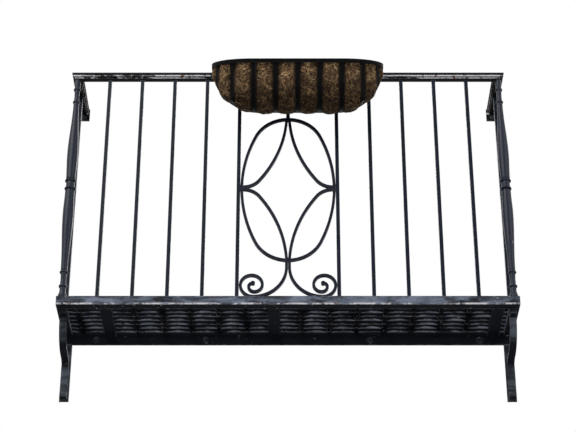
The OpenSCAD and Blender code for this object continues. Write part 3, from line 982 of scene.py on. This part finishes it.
class BALCONY_OT_welds(bpy.types.Operator):
    """Welds of the bars' feet and heads, of the ornament and of the curled braces"""

    bl_idname = "balcony.welds"
    bl_label = "Welds"

    def execute(self, context):
        settings = context.scene.balcony_ironwork
        paint = iron_finish(
            settings, "weld_paint", settings.iron_paint, wear=0.7, roughness=0.3, shine=0.14
        )
        self.bar_welds(settings.weld_leg, paint)
        self.ornament_welds(paint)
        self.brace_welds(bracket_finish(settings, "brace_weld_paint"))
        return {"FINISHED"}

    def bar_welds(self, leg, paint):
        """Weld beads round the feet and heads of the balusters and posts"""
        feet, heads = Shapes(11), Shapes(12)
        for name in frame["nodes"]:
            if name.startswith(("baluster_", "side_baluster_")):
                low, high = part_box(name)
                x, y = (low.x + high.x) / 2, (low.y + high.y) / 2
                feet.square_bead(Vector((x, y, FLOOR_TOP)), BALUSTER_HALF, UP, leg)
                heads.square_bead(Vector((x, y, UNDER_BAR_Z)), BALUSTER_HALF, -UP, leg)
        for side in (-1, 1):
            foot = Vector((side * POST_X, RAIL_Y, FLOOR_TOP))
            feet.round_bead(foot, POST_FOOT, UP, leg)
            head = Vector((side * POST_X, RAIL_Y, UNDER_BAR_Z))
            heads.round_bead(head, POST_NECK, -UP, leg * 0.9)
        feet.piece("baluster_foot_welds", paint, "iron_paint")
        heads.piece("baluster_head_welds", paint, "iron_paint")

    def ornament_welds(self, paint):
        """Weld runs in the grooves where the ornament's bars touch, in front and behind"""
        joints = Shapes(13)
        ring_low, ring_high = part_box("ornament_ring")
        middle = (ring_low.z + ring_high.z) / 2
        groove = 0.0035
        inner = SCROLL_BAR + WELD_CLEAR
        for front in (-1, 1):
            y = RAIL_Y + front * groove
            for side in (-1, 1):
                outside = Vector((side * (ring_high.x + WELD_CLEAR), y, middle))
                joints.weld_run(outside, UP, *BALUSTER_WELD)
                inside = Vector((side * (ring_high.x - inner), y, middle))
                joints.weld_run(inside, UP, *STAR_WELD)
            for z in (ring_high.z - inner, ring_low.z + inner):
                joints.weld_run(Vector((0, y, z)), ALONG, *STAR_WELD)
            top = Vector((0, y, ring_high.z + WELD_CLEAR))
            joints.weld_run(top, ALONG, *STEM_WELD)
            bottom = Vector((0, y, ring_low.z - WELD_CLEAR))
            joints.weld_run(bottom, ALONG, *RING_FOOT_WELD)
            for scroll in both("scroll"):
                foot = Vector((foot_x(scroll), y, FLOOR_TOP))
                joints.weld_run(foot, ALONG, *SCROLL_WELD)
        joints.piece("ornament_welds", paint, "iron_paint")

    def brace_welds(self, paint):
        """Weld runs at each brace's end under the floor and beside it on the wall bar"""
        braces = Shapes(14)
        for side in (-1, 1):
            end = Vector((side * POST_X, BRACE_END_WELD_Y, -0.001))
            braces.weld_run(end, ALONG, *BRACE_END_WELD)
            for edge in (-BRACE_HALF - FIT, BRACE_HALF + FIT):
                for z in BRACE_SIDE_WELD_Z:
                    place = Vector((side * POST_X + edge, -LEDGER_DEEP - FIT, z))
                    braces.weld_run(place, UP, *BRACE_SIDE_WELD)
        braces.piece("brace_welds", paint, "iron_paint")


# Sizes of a 10 mm wall bolt's parts, in metres; a washer's radius grows with the head
WASHER_SHARE = 0.62
WASHER_WIDER = 0.0025
WASHER_EDGE = 0.0012
WASHER_THICK = 0.0018
WASHER_ROUND = 0.0008
SEAT_GAP = 0.0001
HEAD_TALL = 0.0068
SHANK_IN_HEAD = 0.004
HOLE_PLAY = 0.0008
WALL_GAP = 0.0006
# The rail ends have smaller bolts, in holes below this radius in millimetres
SMALL_HOLE = 5.2
SMALL_BOLT = 0.75


def bolt_pattern(shapes, mount, face, head):
    """A washer, a bolt head and a shank for each hole of a mount's bolt pattern"""
    dims = mount["dims"]
    x0, _, z0 = mount["pos_m"]
    half_wide = dims["spacing_x_mm"] / 2000
    half_tall = dims.get("spacing_y_mm", 0) / 2000
    hole = dims["hole_r_mm"] / 1000
    size = SMALL_BOLT if dims["hole_r_mm"] < SMALL_HOLE else 1.0
    washer = head * WASHER_SHARE * size + WASHER_WIDER
    plate = (
        (0, washer),
        (WASHER_EDGE, washer),
        (WASHER_THICK, washer - WASHER_ROUND),
        (WASHER_THICK, hole),
    )
    shank = ((SHANK_IN_HEAD, hole - HOLE_PLAY), (face + WALL_GAP, hole - HOLE_PLAY))
    for x in (-half_wide, half_wide):
        for z in sorted({-half_tall, half_tall}):
            seat = Vector((x0 + x, face + SEAT_GAP, z0 + z))
            shapes.turned(seat, OUT, plate)
            shapes.hex_head(seat + OUT * WASHER_THICK, OUT, head * size, HEAD_TALL * size)
            shapes.turned(seat, OUT, shank, 16)


class BALCONY_OT_wall_bolts(bpy.types.Operator):
    """Washers and hexagon bolts that hold the ledger, the brackets and the rail ends"""

    bl_idname = "balcony.wall_bolts"
    bl_label = "Wall bolts"

    # Each piece, with the node that its bolts hold and the mounts that give their places
    GROUPS = {
        "ledger_bolts": ("wall_ledger", ("anchors_inner", "anchors_outer")),
        "bracket_bolts": ("bracket_wall_bar_left", ("bracket_bolts",)),
        "rail_end_bolts": ("rail_flange_left", ("rail_flange_bolts",)),
    }

    def execute(self, context):
        settings = context.scene.balcony_ironwork
        paint = iron_finish(
            settings, "bolt_paint", settings.grating_paint, wear=1.4, roughness=0.4, shine=0.25
        )
        mounts = {mount["name"]: mount for mount in frame["record"]["mounts"]}
        for seed, (piece, (plate, names)) in enumerate(self.GROUPS.items(), 20):
            bolts = Shapes(seed)
            for name in names:
                bolt_pattern(bolts, mounts[name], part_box(plate)[0].y, settings.bolt_head)
            bolts.piece(piece, paint, "iron_paint")
        return {"FINISHED"}


class BALCONY_OT_basket(bpy.types.Operator):
    """Satin black coating on the basket's bars, with spot welds where they cross"""

    bl_idname = "balcony.basket"
    bl_label = "Planter basket"

    def execute(self, context):
        ironwork = context.scene.balcony_ironwork
        made = worn_paint(
            "basket_coating",
            context.scene.balcony_planter.bar_paint,
            lighter(ironwork.primer, 0.35),
            ironwork.rust,
            wear=0.1,
            roughness=0.6,
            shine=0.05,
            grain=(1, 1, 1),
        )
        dress(["basket_rim", "basket_ribs", "basket_back_frame", "basket_hooks"], made)
        welds = Shapes(31)
        for x in sorted({sign * rib for rib in RIB_X for sign in (-1, 1)}):
            front = liner_front(x) + BASKET_BAR + WELD_CLEAR
            place = from_basket(x, front, -RIM_TALL - 2 * WELD_CLEAR)
            welds.weld_run(place, ALONG, *SPOT_WELD)
        welds.piece("basket_welds", made, "basket_paint")
        return {"FINISHED"}


class BALCONY_OT_coir_liner(bpy.types.Operator):
    """The pressed coir liner that swells between the ribs, with its loose fibres"""

    bl_idname = "balcony.coir_liner"
    bl_label = "Coir liner"

    def execute(self, context):
        settings = context.scene.balcony_planter
        mesh = coir_shell(settings.bulge)
        mesh.materials.clear()
        mesh.materials.append(coir_finish("coir_mat", settings.coir_dark, settings.coir_light))
        liner = add_piece("coir_mat", mesh)
        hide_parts("coir_liner")
        self.fibres(mesh, settings)
        return {"FINISHED"}

    def fibres(self, mesh, settings):
        """Fibres all over the mat; every ninth stands off it and every seventh is thick"""
        tree = BVHTree.FromPolygons(
            [v.co for v in mesh.vertices], [tuple(p.vertices) for p in mesh.polygons]
        )
        fibres = Shapes(41)
        areas = np.cumsum([p.area for p in mesh.polygons])
        for i in range(settings.fibre_count):
            at = int(np.searchsorted(areas, fibres.chance.uniform(0, areas[-1])))
            patch = mesh.polygons[min(at, len(mesh.polygons) - 1)]
            turn = Matrix.Rotation(fibres.chance.uniform(0, FULL_TURN), 3, patch.normal)
            heading = turn @ patch.normal.orthogonal()
            loose = 0.0022 if i % 9 == 0 else 0.0007
            thick = 2.3 if i % 7 == 0 else 1
            lay_fibre(fibres, tree, patch.center.copy(), heading, settings, loose, thick)
        material = fibre_finish("coir_fibres", settings.coir_dark, settings.coir_light)
        mark_panels(fibres.piece("coir_fibres", material, "coir").data)


# Each lamp's place, its share of the lamp power, and its size
LAMPS = {
    "lamp_left": ((-3.2, -4.0, 4.6), 1.0, 5.0),
    "lamp_right": ((4.2, -3.6, 2.4), 0.3, 4.0),
    "lamp_low": ((0.8, -5.0, -3.2), 0.12, 4.0),
    "lamp_back": ((1.5, 4.0, 4.2), 0.3, 4.0),
}
LAMP_AIM = Vector((0, -0.15, 0.4))
STUDIO_HALF = 30.0


def look_at(place, aim):
    """The rotation of a lamp or camera at a place that looks at another"""
    return (aim - Vector(place)).to_track_quat("-Z", "Y").to_euler()


class BALCONY_OT_stage(bpy.types.Operator):
    """Pale floor, white surroundings, soft lamps and the camera that looks up"""

    bl_idname = "balcony.stage"
    bl_label = "Stage"

    def execute(self, context):
        studio = context.scene.balcony_studio
        self.floor(context.scene, studio)
        self.surroundings(context.scene, studio)
        for name, (place, part, size) in LAMPS.items():
            lamp = bpy.data.lights.new(name, "AREA")
            lamp.energy = studio.lamp_power * part
            lamp.size = size
            made = bpy.data.objects.new(name, lamp)
            made.location = place
            made.rotation_euler = look_at(place, LAMP_AIM)
            context.scene.collection.objects.link(made)
        self.camera(context.scene, studio)
        context.scene.view_settings.view_transform = "Standard"
        return {"FINISHED"}

    def floor(self, scene, studio):
        """A wide pale floor that keeps the shadow and glows white for the camera"""
        ground = Finish("studio_floor")
        tone = ground.noise(3, detail=2)
        pale = ground.mix(tone, lighter(studio.floor_colour, 0.985), studio.floor_colour)
        material = ground.finish(pale, roughness=0.9, shine=0.1)
        seen = ground.node("ShaderNodeLightPath").outputs["Is Camera Ray"]
        glow = ground.times(seen, studio.floor_glow)
        ground.set(ground.shader.inputs["Emission Color"], (1, 1, 1, 1))
        ground.set(ground.shader.inputs["Emission Strength"], glow)
        ends, drop = (-STUDIO_HALF, STUDIO_HALF), -studio.floor_drop
        corners = [(x, y, drop) for x in ends for y in ends]
        mesh = bpy.data.meshes.new("studio_floor")
        mesh.from_pydata(corners, [], [(0, 2, 3, 1)])
        mesh.materials.append(material)
        floor = bpy.data.objects.new("studio_floor", mesh)
        scene.collection.objects.link(floor)

    def surroundings(self, scene, studio):
        """White where it is seen, directly or in gloss, and a softer light on surfaces"""
        world = bpy.data.worlds.new("studio_white")
        world.use_nodes = True
        tree = world.node_tree
        tree.nodes.clear()
        path = tree.nodes.new("ShaderNodeLightPath")
        seen = path.outputs["Is Camera Ray"]
        for other in ("Is Glossy Ray", "Is Transmission Ray"):
            either = tree.nodes.new("ShaderNodeMath")
            either.operation = "MAXIMUM"
            tree.links.new(seen, either.inputs[0])
            tree.links.new(path.outputs[other], either.inputs[1])
            seen = either.outputs[0]
        strength = tree.nodes.new("ShaderNodeMapRange")
        tree.links.new(seen, strength.inputs[0])
        strength.inputs[3].default_value = studio.ambient
        strength.inputs[4].default_value = 1
        background = tree.nodes.new("ShaderNodeBackground")
        background.inputs[0].default_value = (1, 1, 1, 1)
        tree.links.new(strength.outputs[0], background.inputs[1])
        output = tree.nodes.new("ShaderNodeOutputWorld")
        tree.links.new(background.outputs[0], output.inputs[0])
        scene.world = world

    def camera(self, scene, studio):
        """Looks up at the middle of the balcony, from in front of it and below it"""
        low, high = CAD_BOX
        aim = Vector([(a + b) / 2 for a, b in zip(low, high)])
        aim.x = 0
        away = studio.camera_away + aim.y
        place = Vector((0, -studio.camera_away, aim.z - away * math.tan(studio.camera_pitch)))
        view = bpy.data.cameras.new("camera")
        view.lens = studio.lens
        view.clip_end = 60
        camera = bpy.data.objects.new("camera", view)
        camera.location = place
        camera.rotation_euler = look_at(place, aim)
        scene.collection.objects.link(camera)
        scene.camera = camera


SETTINGS = {
    "balcony_ironwork": IronworkSettings,
    "balcony_planter": PlanterSettings,
    "balcony_studio": StudioSettings,
}

OPERATORS = (
    BALCONY_OT_handrail,
    BALCONY_OT_posts,
    BALCONY_OT_balusters,
    BALCONY_OT_ornament,
    BALCONY_OT_floor,
    BALCONY_OT_brackets,
    BALCONY_OT_welds,
    BALCONY_OT_wall_bolts,
    BALCONY_OT_basket,
    BALCONY_OT_coir_liner,
    BALCONY_OT_stage,
)


class BALCONY_PT_sidebar(bpy.types.Panel):
    """Settings and buttons of the balcony"""

    bl_idname = "BALCONY_PT_sidebar"
    bl_label = "Juliet balcony"
    bl_space_type = "VIEW_3D"
    bl_region_type = "UI"
    bl_category = "Balcony"

    def draw(self, context):
        for group in SETTINGS:
            settings = getattr(context.scene, group)
            box = self.layout.box()
            for name in settings.__annotations__:
                box.prop(settings, name)
        for operator in OPERATORS:
            self.layout.operator(operator.bl_idname)


def register():
    for name, group in SETTINGS.items():
        bpy.utils.register_class(group)
        setattr(bpy.types.Scene, name, PointerProperty(type=group))
    for operator in OPERATORS:
        bpy.utils.register_class(operator)
    bpy.utils.register_class(BALCONY_PT_sidebar)


def unregister():
    bpy.utils.unregister_class(BALCONY_PT_sidebar)
    for operator in reversed(OPERATORS):
        bpy.utils.unregister_class(operator)
    for name, group in SETTINGS.items():
        delattr(bpy.types.Scene, name)
        bpy.utils.unregister_class(group)


def main():
    """Builds the balcony's pieces and stage in order"""
    register()
    for operator in OPERATORS:
        group, name = operator.bl_idname.split(".")
        getattr(getattr(bpy.ops, group), name)()


if __name__ == "__main__":
    main()
